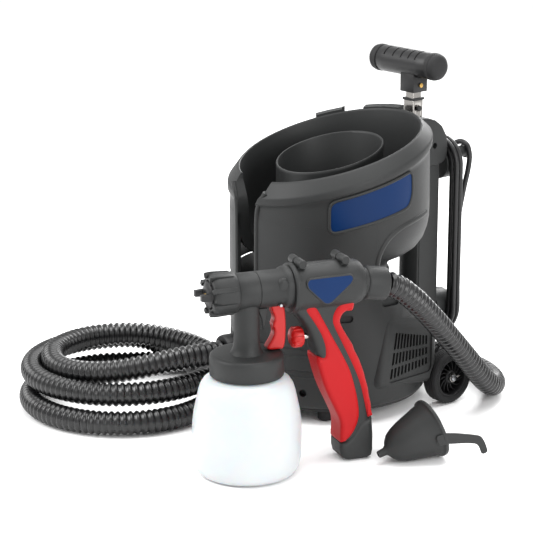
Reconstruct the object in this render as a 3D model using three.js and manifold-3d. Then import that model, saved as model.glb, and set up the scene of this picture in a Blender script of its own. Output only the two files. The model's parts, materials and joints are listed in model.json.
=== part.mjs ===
// HVLP paint spraying kit: a wheeled turbine caddy with a hose drum and a telescopic pull handle,
// a corrugated air hose, a spray gun with its paint cup, a mains lead wound on two pegs, and a
// loose viscosity cup. Units are millimetres and +Z is up. The kit is laid out about the drum's
// vertical axis, and the whole of it is then moved so that the origin is the middle of its
// footprint on the floor.
import * as THREE from "three";
import { mergeVertices } from "three/addons/utils/BufferGeometryUtils.js";
import Module from "manifold-3d";

const wasm = await Module();
wasm.setup();

// ---------------------------------------------------------------- driving dimensions
const GAP = 0.3; // between pieces that rest on each other
const FINE = 48; // segments of a large round piece
const COARSE = 20; // segments of a small one
const FOOTPRINT_CENTRE = [71.9, -32.7];

const DRUM = { radius: 111.5, rim: 113.5, mouth: 99.5, rimZ: 291, slope: 0.29, floorZ: 166 };
const BASE = { radius: 111, bottom: 17, deck: 150, fall: 0.33, neck: 68, wall: 4 };
const POD = { x: 113, outline: [[-29, 38], [58, 30], [62, 38], [62, 100], [56, 108], [-8, 118],
  [-14, 112], [-31, 46]] };
const WELL = { radius: 59.5, rimZ: 282, slope: 0.25 };
const SLOT_ANGLE = -97;
const WHEEL = { radius: 30, y: 84, inner: 98, outer: 117.5 };
const COLUMN = { half: 16, nose: 6, front: 116, shoulder: 125, back: 156 };
const TUBE = { y: 127.5, outer: 15.5, inner: 12.5 };
const GRIP = { z: 367, radius: 15.5, left: -64, right: 49 };
const HUB = { radius: 19, low: 74, high: 246, end: 181, finger: 254 };
const OUTLET = { angle: -100, z: 71.5 };

const GUN = { x: 128.1, y: -225.1, heading: 71.5 };
const BARREL = { w: 192, radius: 19 };
const HOSE = { diameter: 26 };
const LEAD = { diameter: 6.5 };
const HOSE_COIL = { radius: 104, low: [-121.9, -199.1], high: [-135.7, -187.6] };

const PALETTE = {
  charcoal: [0x3a3b3b, 0.55, 0],
  black: [0x262728, 0.5, 0],
  red: [0xc8342c, 0.45, 0],
  blue: [0x15457c, 0.35, 0],
  milky: [0xe9eaea, 0.35, 0],
  chrome: [0xcfd0d2, 0.15, 1],
  steel: [0xa9abad, 0.3, 1],
  brass: [0xb08a4a, 0.35, 1],
  rubber: [0x1d1d1e, 0.8, 0],
};

// ---------------------------------------------------------------- shape helpers
const rad = THREE.MathUtils.degToRad;
const vec = (points) => points.map(([x, y]) => new THREE.Vector2(x, y));

function material(name) {
  const [color, roughness, metalness] = PALETTE[name];
  return new THREE.MeshStandardMaterial({ color, roughness, metalness });
}

// A closed geometry as a solid with its faces pointing out.
function solid(geometry) {
  const bare = geometry.index ? geometry.toNonIndexed() : geometry.clone();
  bare.deleteAttribute("normal");
  bare.deleteAttribute("uv");
  const shape = mergeVertices(bare, 1e-3);
  const index = shape.index.array;
  const kept = [];
  for (let i = 0; i < index.length; i += 3) {
    const [a, b, c] = [index[i], index[i + 1], index[i + 2]];
    if (a !== b && b !== c && a !== c) kept.push(a, b, c);
  }
  const build = (triangles) =>
    new wasm.Manifold(
      new wasm.Mesh({
        numProp: 3,
        vertProperties: new Float32Array(shape.attributes.position.array),
        triVerts: new Uint32Array(triangles),
      }),
    );
  const made = build(kept);
  if (made.volume() >= 0) return made;
  return build(kept.reverse());
}

function geometryOf(made) {
  const mesh = made.getMesh();
  const position = [];
  for (const v of mesh.triVerts) {
    const at = v * mesh.numProp;
    position.push(...mesh.vertProperties.subarray(at, at + 3));
  }
  const geometry = new THREE.BufferGeometry();
  geometry.setAttribute("position", new THREE.Float32BufferAttribute(position, 3));
  geometry.computeVertexNormals();
  return geometry;
}

const join = (first, ...rest) => rest.reduce((sum, g) => sum.add(solid(g)), solid(first));
const cut = (body, ...tools) => tools.reduce((left, g) => left.subtract(solid(g)), body);

function box(x0, x1, y0, y1, z0, z1) {
  const made = new THREE.BoxGeometry(x1 - x0, y1 - y0, z1 - z0);
  return made.translate((x0 + x1) / 2, (y0 + y1) / 2, (z0 + z1) / 2);
}

// A body of revolution about +Z from a profile of [radius, height] points.
const turned = (profile, segments = COARSE) =>
  new THREE.LatheGeometry(vec(profile), segments).rotateX(Math.PI / 2);

const disc = (radius, z0, z1, segments = COARSE) =>
  turned([[0, z0], [radius, z0], [radius, z1], [0, z1]], segments);

const ring = (inner, outer, z0, z1, segments = COARSE) =>
  turned([[inner, z0], [outer, z0], [outer, z1], [inner, z1], [inner, z0]], segments);

const alongX = (geometry) => geometry.rotateY(Math.PI / 2);
const alongY = (geometry) => geometry.rotateX(-Math.PI / 2);

// Lays a shape made about +Z on the axle, on one side of the caddy.
const onAxle = (geometry, side) =>
  geometry.rotateY((side * Math.PI) / 2).translate(0, WHEEL.y, WHEEL.radius);

function prism(outline, depth, bevel = 0, holes = []) {
  const shape = new THREE.Shape(vec(outline));
  shape.holes = holes.map((hole) => new THREE.Path(vec(hole)));
  return new THREE.ExtrudeGeometry(shape, {
    depth: depth - 2 * bevel,
    bevelEnabled: bevel > 0,
    bevelThickness: bevel,
    bevelSize: bevel,
    bevelOffset: -bevel,
    bevelSegments: 1,
  }).translate(0, 0, bevel);
}

// A side view of [u, w] points, given thickness from v0 to v1 across the gun.
const sideways = (outline, v0, v1, bevel = 0) =>
  prism(outline, v1 - v0, bevel).rotateX(Math.PI / 2).translate(0, v1, 0);

// A side view of [y, z] points, given thickness along X.
const across = (outline, x0, x1, bevel = 0) =>
  prism(outline, x1 - x0, bevel)
    .rotateX(Math.PI / 2)
    .rotateZ(Math.PI / 2)
    .translate(x0, 0, 0);

// Leans the top of a drum: everything above z0 is carried up with Y, fully so above z1.
function lean(geometry, slope, z0, z1) {
  const at = geometry.attributes.position;
  for (let i = 0; i < at.count; i++) {
    const share = THREE.MathUtils.clamp((at.getZ(i) - z0) / (z1 - z0), 0, 1);
    at.setZ(i, at.getZ(i) + slope * at.getY(i) * share);
  }
  return geometry;
}

// A block bent round the drum's axis, between two radii and two angles in degrees.
function bentBlock(r0, r1, a0, a1, low, high, steps = 8) {
  const position = [];
  const corner = (r, i, height) => {
    const share = i / steps;
    const angle = rad(a0 + (a1 - a0) * share);
    const [x, y] = [r * Math.cos(angle), r * Math.sin(angle)];
    return [x, y, height(share, y)];
  };
  const quad = (a, b, c, d) => position.push(...a, ...b, ...c, ...a, ...c, ...d);
  for (let i = 0; i < steps; i++) {
    const [il, ih, ol, oh] = [[r0, low], [r0, high], [r1, low], [r1, high]].map(
      ([r, height]) => [corner(r, i, height), corner(r, i + 1, height)],
    );
    quad(ol[0], ol[1], oh[1], oh[0]);
    quad(il[1], il[0], ih[0], ih[1]);
    quad(oh[0], oh[1], ih[1], ih[0]);
    quad(il[0], il[1], ol[1], ol[0]);
    if (i === 0) quad(il[0], ol[0], oh[0], ih[0]);
    if (i === steps - 1) quad(ol[1], il[1], ih[1], oh[1]);
  }
  const made = new THREE.BufferGeometry();
  return made.setAttribute("position", new THREE.Float32BufferAttribute(position, 3));
}

// A round cord through the points, with an optional bore.
function cord(points, diameter, steps, sides = 8, bore = 0) {
  const circle = (r) =>
    Array.from({ length: sides }, (_, i) => {
      const angle = (2 * Math.PI * i) / sides;
      return [r * Math.cos(angle), r * Math.sin(angle)];
    });
  const shape = new THREE.Shape(vec(circle(diameter / 2)));
  if (bore > 0) shape.holes = [new THREE.Path(vec(circle(bore / 2)))];
  const path = new THREE.CatmullRomCurve3(
    points.map((p) => new THREE.Vector3(...p)),
    false,
    "catmullrom",
    0.5,
  );
  return new THREE.ExtrudeGeometry(shape, { steps, extrudePath: path, bevelEnabled: false });
}

const square = (half, z0, z1, y = TUBE.y) => box(-half, half, y - half, y + half, z0, z1);

// ---------------------------------------------------------------- scene graph
const kit = new THREE.Group();
kit.position.set(-FOOTPRINT_CENTRE[0], -FOOTPRINT_CENTRE[1], 0);
const gun = new THREE.Group();
gun.position.set(GUN.x, GUN.y, 0);
gun.rotation.z = rad(GUN.heading);
kit.add(gun);

function add(name, made, colour, group = kit) {
  const geometry = geometryOf(made.isBufferGeometry ? solid(made) : made);
  const mesh = new THREE.Mesh(geometry, material(colour));
  mesh.name = name;
  group.add(mesh);
}

// ---------------------------------------------------------------- drum
function tubShell() {
  const { radius, rim, mouth, rimZ, slope, floorZ } = DRUM;
  const bowl = [[62, BASE.deck + GAP], [66, BASE.deck + GAP], [66, 160], [74, floorZ], [88, 172],
    [100, 184], [108, 200], [radius, 216], [radius, 270], [rim - 0.6, 272], [rim, 278],
    [mouth + 2.5, rimZ], [mouth, rimZ - 1], [97.5, 264], [97, 216], [94, 200], [86, 184],
    [76, 176], [62, 172], [62, BASE.deck + GAP]];
  const shell = solid(lean(turned(bowl, FINE), slope, 216, 262));
  const apron = solid(ring(radius - 3.5, radius, BASE.deck + GAP, 218, FINE));
  const front = solid(box(-120, 120, -120, -26, 140, 225));
  const opening = prism([[-16, 160], [16, 160], [17, 232], [27, 256], [33, 340], [-33, 340],
    [-27, 256], [-17, 232]], 40)
    .rotateX(Math.PI / 2)
    .translate(0, -80, 0)
    .rotateZ(rad(SLOT_ANGLE + 90));
  const onRim = (lift) => (share, y) => rimZ + slope * y + lift;
  return cut(shell.add(apron.intersect(front)), opening)
    .add(solid(bentBlock(mouth + 1, rim - 2.5, 136, 154, onRim(-10), onRim(4.5))))
    .add(solid(bentBlock(mouth + 1, rim - 2.5, 96, 124, onRim(-10), onRim(3))));
}

function innerWell() {
  const { radius, rimZ, slope } = WELL;
  const profile = [[0, 174], [57, 174], [radius, 216], [radius, rimZ - 1], [radius - 0.8, rimZ],
    [radius - 2, rimZ - 1], [radius - 2.4, 216], [54.6, 178], [0, 178]];
  return lean(turned(profile, 48), slope, 216, 262);
}

function labelPanel() {
  const between = (left, right) => (share) => left + (right - left) * share;
  const inner = DRUM.radius + GAP;
  return bentBlock(inner, inner + 1, -41, 9, between(219, 238), between(247.4, 273.4), 12);
}

add("tub_shell", tubShell(), "charcoal");
add("inner_well", innerWell(), "charcoal");
add("label_panel", labelPanel(), "blue");

// ---------------------------------------------------------------- base with the turbine
const GRILLE = { outline: [[-12, 43], [50, 43], [53, 47], [53, 92], [49, 97], [-2, 105]] };
const SWITCH = { y: 24, z: 74, length: 20, height: 13 };

// The top of the base falls away towards the column, so that light shows under the drum.
function fallBack(geometry) {
  const at = geometry.attributes.position;
  for (let i = 0; i < at.count; i++) {
    if (at.getZ(i) > BASE.bottom) at.setZ(i, at.getZ(i) - BASE.fall * Math.max(at.getY(i), 0));
  }
  return geometry;
}

function baseHousing() {
  const { radius, bottom, deck, neck, wall } = BASE;
  const { x, outline } = POD;
  const outer = join(
    fallBack(disc(radius, bottom, deck, FINE)),
    disc(neck, bottom, deck, FINE),
    across(outline, -x, x),
  );
  const arch = (r, from) =>
    [-1, 1].map((side) => onAxle(disc(r, from, 125, 32), side));
  const cavity = cut(
    join(
      fallBack(disc(radius - wall, bottom - 1, deck - wall, FINE)),
      across(offset(outline, -wall), wall - x, x - wall),
    ),
    ...arch(WHEEL.radius + 7, 92),
  );
  const outletHole = disc(16.6, 95, 125).rotateY(Math.PI / 2).rotateZ(rad(OUTLET.angle));
  return cut(
    outer.subtract(cavity),
    ...arch(WHEEL.radius + 3.5, 95.5),
    across(GRILLE.outline, x - 10, x + 1),
    box(-x - 1, -x + 10, SWITCH.y - 12.5, SWITCH.y + 12.5, SWITCH.z - 8, SWITCH.z + 8),
    outletHole.translate(0, 0, OUTLET.z),
    onAxle(disc(4.4, -120, 120), 1),
  );
}

function ventGrille() {
  const slots = 10;
  const plate = across(offset(GRILLE.outline, -GAP), POD.x - 3, POD.x);
  const openings = [];
  for (const [low, high] of [[47, 60], [63, 76], [79, 92]]) {
    for (let i = 0; i < slots; i++) {
      const y = -3 + i * 5.4;
      openings.push(box(100, 120, y - 1.4, y + 1.4, low, high));
    }
  }
  return cut(solid(plate), ...openings);
}

function rocker() {
  const { length, height } = SWITCH;
  const made = across([[-length / 2, -5], [length / 2, -5], [length / 2, 2.4], [0, 1.2],
    [-length / 2, 2.4]], -height / 2, height / 2);
  return made.rotateY(-Math.PI / 2).rotateZ(rad(6)).translate(-POD.x, SWITCH.y, SWITCH.z);
}

function turbineMotor() {
  return turned([[0, BASE.bottom + GAP], [34, BASE.bottom + GAP], [38, 24], [38, 82], [30, 90],
    [12, 92], [12, 97], [4, 97], [4, 120], [0, 120]], 32);
}

function turbineFan() {
  const blades = 9;
  let fan = join(ring(4.5, 13, 98, 118), ring(4.5, 56, 98, 100.5, 36));
  for (let i = 0; i < blades; i++) {
    const blade = box(11, 55, -1, 1, 100, 116).rotateZ((2 * Math.PI * i) / blades);
    fan = fan.add(solid(blade));
  }
  return fan;
}

// The outlet and the hose's cuff point out of the base at OUTLET.angle.
const atOutlet = (geometry) =>
  geometry.rotateY(Math.PI / 2).rotateZ(rad(OUTLET.angle)).translate(0, 0, OUTLET.z);

function foot() {
  return turned([[0, 0], [7.5, 0], [9, 2], [9, BASE.bottom - 3 - GAP], [0, BASE.bottom - 3 - GAP]]);
}

add("base_housing", baseHousing(), "charcoal");
add("base_plate", cut(
  solid(disc(105, BASE.bottom - 3, BASE.bottom - GAP, FINE)),
  box(-20, 20, 80, 120, 10, 20),
), "black");
add("vent_grille", ventGrille(), "charcoal");
add("power_switch", rocker(), "red");
add("turbine_motor", turbineMotor(), "steel");
add("turbine_fan", turbineFan(), "black");
add("air_outlet", atOutlet(ring(12, 16, 100, 130)), "charcoal");
add("hose_cuff_caddy", atOutlet(turned([[16.4, 114], [18.6, 114], [18.6, 134], [17.6, 137],
  [10.5, 137], [10.5, 130.4], [16.4, 130.4], [16.4, 114]])), "black");
add("foot_left", foot().translate(-64.8, -60.7, 0), "rubber");
add("foot_right", foot().translate(64.8, -60.7, 0), "rubber");

// ---------------------------------------------------------------- wheels
function wheelRim(side) {
  const [inner, outer] = [WHEEL.inner + 2, WHEEL.outer - 1.5];
  const web = turned([[4.1, inner], [7, inner], [7, inner + 6], [19, inner + 6], [19, inner],
    [21.6, inner], [21.6, outer], [19, outer], [18, outer - 5], [8, outer - 4], [7, outer],
    [4.1, outer], [4.1, inner]], 32);
  return onAxle(web, side);
}

function tyre(side) {
  const { inner, outer, radius } = WHEEL;
  const profile = [[21.9, inner], [26, inner], [radius, inner + 2.5], [radius, outer - 2.5],
    [26, outer], [21.9, outer], [21.9, inner]];
  return onAxle(turned(profile, 32), side);
}

function cotterClip(side) {
  const clip = join(ring(3.8, 5, WHEEL.outer - 1.2, WHEEL.outer + 0.2), box(
    -1, 1, 4.6, 11, WHEEL.outer - 1.2, WHEEL.outer + 0.2,
  ));
  return onAxle(geometryOf(clip), side);
}

add("axle", onAxle(disc(3.5, -WHEEL.outer - 2, WHEEL.outer + 2), 1), "steel");
for (const [name, side] of [["left", -1], ["right", 1]]) {
  add("wheel_" + name, wheelRim(side), "black");
  add("tyre_" + name, tyre(side), "rubber");
  add("cotter_clip_" + name, cotterClip(side), "chrome");
}

// ---------------------------------------------------------------- column and pull handle
function columnHousing() {
  const { half, nose, front, shoulder, back } = COLUMN;
  const shaft = (wall, low, high) => {
    const [x, y] = [half - wall, shoulder + wall / 2];
    const outline = [[-x, y], [-nose + wall / 2, front + wall], [nose - wall / 2, front + wall],
      [x, y], [x, back - wall], [-x, back - wall]];
    return prism(outline, high - low).translate(0, 0, low);
  };
  const head = across([[114, 250], [157, 247], [164, 254], [166, 270], [163, 284], [155, 296],
    [143, 303], [130, 306.5], [114, 307]], -half - 4, half + 4, 2);
  const lug = box(-half, half, 111.4, shoulder + 1, 24, 70);
  return cut(
    join(shaft(0, BASE.bottom, 260), head, lug),
    shaft(3, 20, 245),
    square(TUBE.outer / 2 + 0.4, 66, 330),
    alongX(disc(3, half - 2, half + 6)).translate(0, 144, 272),
  );
}

function peg(z, start, fingerZ, end) {
  const hub = alongY(disc(HUB.radius, start, HUB.end)).translate(0, 0, z);
  const nose = alongY(disc(6.5, HUB.end - 3, end)).translate(0, 0, fingerZ);
  const lip = alongY(disc(9, end - 3, end)).translate(0, 0, fingerZ);
  return join(hub, nose, lip);
}

function pullHandle() {
  const { outer, inner } = TUBE;
  const tube = (half, wall, z0, z1) =>
    solid(square(half, z0, z1)).subtract(solid(square(half - wall, z0 - 1, z1 + 1)));
  const buttonHole = alongX(disc(3.7, 6, 9, 12)).translate(0, TUBE.y, 316);
  add("handle_tube_outer", cut(tube(outer / 2, 1.1, 70, 325), buttonHole), "chrome");
  add("handle_tube_inner", tube(inner / 2, 1, 92, 345), "chrome");
  add("tube_collar", solid(square(8.9, 325.3, 328)).subtract(
    solid(square(inner / 2 + 0.25, 320, 335)),
  ), "black");
  add("detent_button", alongX(disc(3.2, 8.4, 10.9, 12)).translate(0, TUBE.y, 316), "black");
}

function gripSocket() {
  const { z, radius } = GRIP;
  return cut(
    solid(box(-11, 11, TUBE.y - 11, TUBE.y + 11, 335, 361)),
    alongX(disc(radius + GAP - 0.5, -40, 40, 28)).translate(0, TUBE.y, z),
    square(TUBE.inner / 2 + 0.25, 330, 345.3),
  );
}

function gripCap(side, from, to) {
  const { radius, z } = GRIP;
  const [a, b] = [Math.min(from, to), Math.max(from, to)];
  const flat = [[0, 0], [radius, 0], [radius, 6], [radius - 1.2, 9.5], [radius - 5, 12.6],
    [0, b - a]];
  const dome = turned(flat, 28).rotateY((side * Math.PI) / 2);
  return dome.translate(side > 0 ? a : b, TUBE.y, z);
}

add("column_housing", columnHousing(), "charcoal");
add("cord_peg_upper", peg(HUB.high, 166.3, HUB.finger, 216), "charcoal");
add("cord_peg_lower", peg(HUB.low, COLUMN.back + GAP, HUB.low, 188), "charcoal");
pullHandle();
add("handle_socket", gripSocket(), "black");
add("handle_screw", alongX(disc(2.6, 11.3, 12.7, 12)).translate(0, TUBE.y, 343), "brass");
add("handle_grip", alongX(disc(GRIP.radius - 0.5, GRIP.left + 14, GRIP.right - 14, 28))
  .translate(0, TUBE.y, GRIP.z), "black");
add("grip_cap_left", gripCap(-1, GRIP.left, GRIP.left + 14 - GAP), "rubber");
add("grip_cap_right", gripCap(1, GRIP.right - 14 + GAP, GRIP.right), "rubber");

// ---------------------------------------------------------------- air hose
// From the gun's cuff down to the floor, round the back of the caddy, and into the coil.
const HOSE_RUN = [[177.5, -77.1, 183.1], [179, -70, 180.4], [180.4, -56, 171.5],
  [179.5, -34, 154], [176, -10, 133], [170.5, 18, 107.5], [164, 46, 82], [157, 74, 56.5],
  [149.5, 99, 34.5], [140, 122, 20], [125, 143, 14.2], [103, 159, 13], [74, 169, 13],
  [36, 173, 13], [0, 173, 13], [-36, 172.5, 13], [-72, 169, 13], [-105, 156, 13],
  [-132, 131, 13], [-147, 97, 13], [-151.5, 60, 13], [-152, 22, 13], [-153, -16, 13],
  [-160, -56, 13], [-177, -95, 13], [-201.6, -132.2, 13]];
const HOSE_END = [[-163.4, -263.7, 51], [-135.7, -268.6, 51.5], [-108, -263.7, 53.5],
  [-82, -249, 57], [-60, -226, 62.5], [-44, -199, 68], [-34.5, -175, 71], [-28, -153, 71.5],
  [-23.9, -135.6, 71.5]];

function coilRing(centre, z0, z1, spare = 0) {
  const half = HOSE.diameter / 2 + spare;
  const made = ring(HOSE_COIL.radius - half, HOSE_COIL.radius + half, z0, z1, 40);
  return made.translate(centre[0], centre[1], 0);
}

function hoseCoil() {
  return join(coilRing(HOSE_COIL.low, 0, 26.4), coilRing(HOSE_COIL.high, 26, 52.5));
}

function hoseStretch(points, steps) {
  return cut(
    solid(cord(points, HOSE.diameter, steps, 10)),
    coilRing(HOSE_COIL.low, -5, 26.8, GAP),
    coilRing(HOSE_COIL.high, 25.6, 52.8, GAP),
    ...(points === HOSE_END ? [atOutlet(disc(30, 110, 137.3))] : []),
  );
}

add("air_hose", hoseStretch(HOSE_RUN, 42), "black");
add("hose_coil", hoseCoil(), "black");
add("air_hose_end", hoseStretch(HOSE_END, 20), "black");

// ---------------------------------------------------------------- mains lead
// Out of the gland, up behind the pegs to the upper peg's finger, round both pegs, then down
// over the hose to the plug on the floor.
const LEAD_RISE = [[0, 180.5, 36], [0, 187, 36.9], [0, 193, 39.5], [0.2, 198.4, 43.6],
  [0.6, 202.5, 49], [1, 205.2, 56], [2, 205.4, 66], [4, 202.5, 92], [6.5, 198.5, 120],
  [8.5, 195.5, 150], [10, 196, 180], [11.6, 201, 210], [12.8, 206.5, 234], [12.4, 208.8, 250],
  [8, 209.3, 261.5], [-1, 209.2, 265], [-10, 207.5, 262], [-17, 203, 253], [-21, 195.5, 241],
  [-22.6, 188.5, 228], [-22.8, 184.6, 214]];
const LEAD_TAIL = [[-29.1, 177, 53], [-29.3, 178, 44], [-30.5, 182.5, 36.5], [-33, 190, 30],
  [-37.5, 199, 22.5], [-44.5, 207.5, 16], [-54, 213, 12.2], [-65.5, 215, 11]];
const LOOP = { near: 170.4, far: 177, layers: 2 };

function stadium(radius, points = 12) {
  const arc = (z, start) =>
    Array.from({ length: points + 1 }, (_, i) => {
      const angle = start + (Math.PI * i) / points;
      return [radius * Math.cos(angle), z + radius * Math.sin(angle)];
    });
  return [...arc(HUB.high, 0), ...arc(HUB.low, Math.PI)];
}

function leadCoil() {
  const half = LEAD.diameter / 2;
  const inner = HUB.radius + GAP;
  const depth = LOOP.far - LOOP.near + LEAD.diameter;
  return prism(stadium(inner + LOOP.layers * LEAD.diameter), depth, 0, [stadium(inner)])
    .rotateX(Math.PI / 2)
    .translate(0, LOOP.far + half, 0);
}

function mainsPlug() {
  const body = prism([[-11, -13], [11, -13], [15, -6], [15, 6], [11, 13], [-11, 13]], 22, 2);
  const pins = [box(14, 26, -2, 2, 8, 14), box(14, 26, -11, -7, 9, 13), box(14, 26, 7, 11, 9, 13)];
  return geometryOf(join(body.translate(0, 0, 0), ...pins)).rotateZ(Math.PI);
}

add("mains_gland", alongY(turned([[0, COLUMN.back + GAP], [8, COLUMN.back + GAP], [8, 159],
  [6, 161], [4.2, 180], [0, 180]])).translate(0, 0, 36), "rubber");
add("mains_lead", cord(LEAD_RISE, LEAD.diameter, 48), "black");
add("mains_coil", leadCoil(), "black");
add("mains_lead_tail", cord(LEAD_TAIL, LEAD.diameter, 16), "black");
add("mains_plug", mainsPlug().translate(-77.5, 215, 0), "black");

// ---------------------------------------------------------------- gun handle
const HEAD = { radius: 24.5, front: 45.3, back: 125, w: 190 };
const KNOB_W = 137.3;
const HANDLE = [[47, 175], [47, 166], [57, 155], [64, 142], [70, 127], [71, 121], [73, 117],
  [77, 102], [85, 79], [96, 55], [101, 44], [102, 28], [101, 20], [133, 20], [133, 38],
  [131.5, 52], [128.5, 69], [124.5, 88], [119, 105.5], [111.5, 120.5], [102.5, 136], [95, 150],
  [96, 159], [101, 165.5], [110, 168], [118, 175]];
const HANDLE_HOLLOW = [[62, 178], [68, 152], [76, 128], [80, 105], [89, 80], [100, 56],
  [105, 45], [106, 24], [129, 24], [129, 38], [127.5, 51], [124.5, 68], [120.5, 86],
  [115, 103], [107, 119], [98, 134], [90.5, 150], [92, 178]];
const GRIP_FRONT = [[65, 179], [59.5, 167], [71, 149], [78, 133], [79, 117.5], [71, 117],
  [75, 102], [83, 79], [94, 55], [99, 44], [100, 28], [98.5, 20.4], [106, 20.4], [114, 22],
  [120, 31], [120.5, 48], [117, 73], [110, 98], [101, 117], [90, 137], [78.5, 160], [67.5, 177]];
const GRIP_REAR = [[114, 179], [118.5, 178], [117.5, 170], [110, 163.5], [102, 163],
  [98, 158.5], [97, 150], [105, 136], [114, 120.5], [121.5, 105.5], [127, 88], [131, 69],
  [134, 52], [135, 38.5], [134, 20.4], [128, 20.4], [127, 46], [124, 63], [119, 82], [111, 102],
  [99, 127], [89, 148], [86, 160], [93, 168]];

// A range across the gun, on one side of its middle plane.
const half = (side, v0, v1) => (side < 0 ? [-v1, -v0] : [v0, v1]);

function gunShell(side) {
  const { radius, front, back, w } = HEAD;
  const along = (geometry) => geometry.rotateY(Math.PI / 2).translate(0, 0, w);
  const head = along(turned([[0, front], [26, front], [26, front + 4], [radius, front + 6],
    [radius, 108], [22, 116], [16.5, back], [0, back]], 40));
  const handle = sideways(HANDLE, -15.5, 15.5, 3);
  const lug = (u) => alongY(disc(4.6, -15, 15, 16)).translate(u, 0, 217);
  const saddle = (u) => box(u - 3.5, u + 3.5, -12, 12, 205, 217);
  const duct = along(disc(16, front - 1, 112, 32));
  const inlet = disc(11.5, 105, 130).rotateY(Math.PI / 2).translate(0, 0, 187);
  const keep = box(0, 160, ...half(side, GAP / 2, 40), 0, 260);
  const screwHole = disc(4, 60, 84, 16).rotateY(Math.PI / 2).translate(0, 0, KNOB_W);
  const body = join(head, handle, lug(55), lug(102), saddle(55), saddle(102));
  const flats = [box(40, 130, 23, 40, 150, 230), box(40, 130, -40, -23, 150, 230)];
  return cut(body, duct, inlet, sideways(HANDLE_HOLLOW, -12, 12), screwHole, ...flats)
    .intersect(solid(keep));
}

function overmould(outline) {
  const cover = solid(sideways(outline, -17, 17, 1));
  const { radius, front, back, w } = HEAD;
  const head = turned([[0, front], [radius + GAP, front], [radius + GAP, 108.2], [22.3, 116.3],
    [16.8, back + GAP], [0, back + GAP]], 40).rotateY(Math.PI / 2).translate(0, 0, w);
  const handle = sideways(offset(HANDLE, GAP), -15.8, 15.8, 3);
  return cut(cover, handle, head);
}

// The outline moved outwards by a distance, for an outline with its inside on its left.
function offset(outline, distance) {
  const n = outline.length;
  const turn = THREE.ShapeUtils.isClockWise(vec(outline)) ? -1 : 1;
  return outline.map(([x, y], i) => {
    const [px, py] = outline[(i + n - 1) % n];
    const [nx, ny] = outline[(i + 1) % n];
    const normal = ([ax, ay]) => {
      const length = Math.hypot(ax, ay);
      return [(turn * ay) / length, (-turn * ax) / length];
    };
    const [a, b] = [normal([x - px, y - py]), normal([nx - x, ny - y])];
    const scale = distance / (1 + a[0] * b[0] + a[1] * b[1]);
    return [x + (a[0] + b[0]) * scale, y + (a[1] + b[1]) * scale];
  });
}

function flowKnob() {
  const ribs = 12;
  let knob = solid(turned([[0, 48.5], [9.5, 48.5], [10.3, 49.5], [10.3, 58.8], [9.5, 59.8],
    [0, 59.8]], 28));
  for (let i = 0; i < ribs; i++) {
    const rib = box(-0.9, 0.9, 9.5, 11, 49.5, 58.8).rotateZ((2 * Math.PI * i) / ribs);
    knob = knob.add(solid(rib));
  }
  return geometryOf(knob).rotateY(Math.PI / 2).translate(0, 0, KNOB_W);
}

add("gun_shell_left", gunShell(1), "charcoal", gun);
add("gun_shell_right", gunShell(-1), "charcoal", gun);
add("grip_front", overmould(GRIP_FRONT), "red", gun);
add("grip_rear", overmould(GRIP_REAR), "red", gun);
add("handle_end_cap", sideways([[101, 19.7], [98.5, 15], [99.5, 6], [104, 1], [110, 0], [131, 0],
  [136, 3], [136.5, 14], [134, 19.7]], -16, 16, 2), "charcoal", gun);
add("badge", sideways([[64, 197], [67, 200], [113, 199], [116, 195], [112, 190], [89, 173],
  [85, 171], [81, 173], [66, 191]], -24.6, -23.3), "blue", gun);
add("flow_knob", flowKnob(), "red", gun);
add("knob_screw", disc(3.2, 60.1, 82, 16).rotateY(Math.PI / 2).translate(0, 0, KNOB_W),
  "chrome", gun);
add("hose_cuff_gun", turned([[0, 0], [16.4, 0], [17.6, 1.5], [17.6, 22], [16.4, 24.5], [0, 24.5]], 32)
  .rotateY(rad(90 + 8)).translate(128.3, 0, 187.3), "charcoal", gun);

// ---------------------------------------------------------------- spray head
const TRIGGER = [[24.5, 172.6], [27, 178], [35, 178], [38.5, 172.6], [40, 160], [40.5, 148],
  [40, 138], [38.5, 128.4], [25, 128.4], [20.5, 131.5], [24.5, 137], [28.5, 141], [30, 144.5], [29, 149], [27, 153],
  [28.5, 157.5], [30, 161], [28.5, 166]];
const PIVOT = { u: 31, w: 177.5 };

const onBarrel = (geometry) => geometry.rotateY(Math.PI / 2).translate(0, 0, BARREL.w);
const crosswise = (geometry, u, w) => alongY(geometry).translate(u, 0, w);

function sprayHead() {
  const body = join(
    onBarrel(turned([[0, -26], [16.2, -26], [16.2, -13], [19, -13], [19, 8.6], [18.6, 9],
      [19, 9.4], [19, 36], [21, 38], [21, 44.9], [0, 44.9]], 32)),
    disc(38, 104.6, 126.7, 36),
    turned([[0, 120], [17, 120], [17, 127], [14, 131], [13, 150], [13, 182], [0, 182]], 28),
    crosswise(disc(4, -6, 6, 12), 24, 209.5),
    box(28, 40, -19, -12, 198, 205),
    box(28, 40, 12, 19, 198, 205),
  );
  return cut(
    body,
    onBarrel(disc(6.8, -30, 50)),
    disc(35.2, 100, 121, 36),
    disc(3.6, 118, 190, 16),
    box(21, 41.5, -7.2, 7.2, 168, 184),
    crosswise(disc(1.9, -30, 30, 16), PIVOT.u, PIVOT.w),
  );
}

function unionNut() {
  const profile = [[16.6, -13.4], [20.4, -13.4], [21.3, -15], [21.3, -36], [20, -40],
    [14.4, -40], [14.4, -38], [17, -38], [17, -26], [16.6, -25], [16.6, -13.4]];
  let nut = solid(turned(profile, 32));
  const ribs = 8;
  for (let i = 0; i < ribs; i++) {
    const rib = box(-2.2, 2.2, 19.5, 23, -41, -19).rotateZ((2 * Math.PI * (i + 0.5)) / ribs);
    nut = nut.add(solid(rib));
  }
  return onBarrel(geometryOf(nut));
}

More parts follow.
